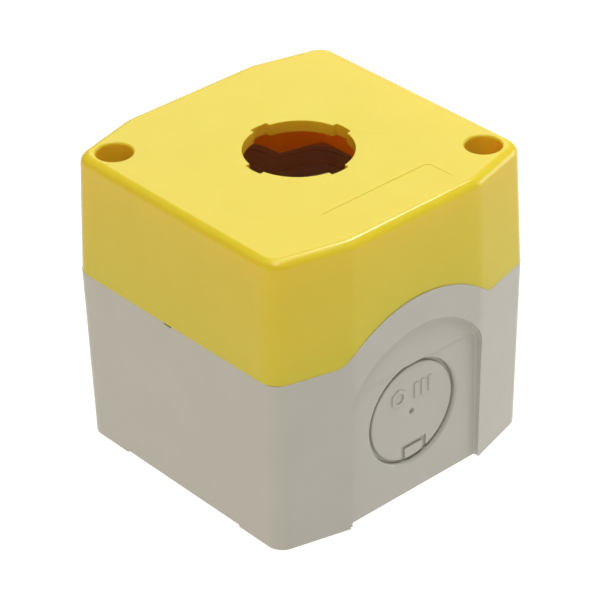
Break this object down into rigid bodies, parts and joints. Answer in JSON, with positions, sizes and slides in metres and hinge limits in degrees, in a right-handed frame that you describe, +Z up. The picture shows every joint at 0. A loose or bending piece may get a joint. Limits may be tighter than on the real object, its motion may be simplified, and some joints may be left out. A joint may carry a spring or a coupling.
{
  "type": "push-button enclosure",
  "caption": "Square one-hole push-button enclosure: grey base with cable knock-outs, and a screwed-on yellow cover with a keyed hole for a control head.",
  "frame": {"origin": "centre of the enclosure on the plane that the feet stand on", "axes": "+Z up through the button hole, -Y towards the cable-entry side with the label recess, +X to the right of that side"},
  "size_m": [0.068, 0.0686, 0.0658],
  "materials": {
    "base_plastic": "fine satin, moulded",
    "cover_plastic": "satin, slightly translucent, moulded",
    "gasket_rubber": "matt",
    "insert_brass": "turned",
    "screw_steel": "zinc plated",
    "seal_rubber": "matt"
  },
  "bodies": {
    "base_body": {"base": "base_plastic", "cable_knockout_front": "base_plastic", "cable_knockout_rear": "base_plastic", "thread_insert_left": "insert_brass", "thread_insert_right": "insert_brass"},
    "cover_body": {"cover": "cover_plastic", "cover_gasket": "gasket_rubber"},
    "seal_left_body": {"screw_seal_left": "seal_rubber"},
    "seal_right_body": {"screw_seal_right": "seal_rubber"},
    "screw_left_body": {"cover_screw_left": "screw_steel"},
    "screw_right_body": {"cover_screw_right": "screw_steel"}
  },
  "joints": [
    {"name": "cover_lift", "type": "slide", "parent": "base_body", "child": "cover_body", "axis": [0, 0, 1], "range_m": [0, 0.07]},
    {"name": "screw_left_rise", "type": "slide", "parent": "cover_body", "child": "seal_left_body", "axis": [0, 0, 1], "range_m": [0, 0.0063]},
    {"name": "screw_left_turn", "type": "hinge", "parent": "seal_left_body", "child": "screw_left_body", "pos_m": [-0.027, 0.024, 0.05], "axis": [0, 0, 1], "range_deg": [0, 3240]},
    {"name": "screw_right_rise", "type": "slide", "parent": "cover_body", "child": "seal_right_body", "axis": [0, 0, 1], "range_m": [0, 0.0063]},
    {"name": "screw_right_turn", "type": "hinge", "parent": "seal_right_body", "child": "screw_right_body", "pos_m": [0.027, -0.024, 0.05], "axis": [0, 0, 1], "range_deg": [0, 3240]}
  ],
  "couplings": [
    {"joint": "screw_left_turn", "follows": "screw_left_rise", "rad_per_m": 8976},
    {"joint": "screw_right_turn", "follows": "screw_right_rise", "rad_per_m": 8976}
  ]
}
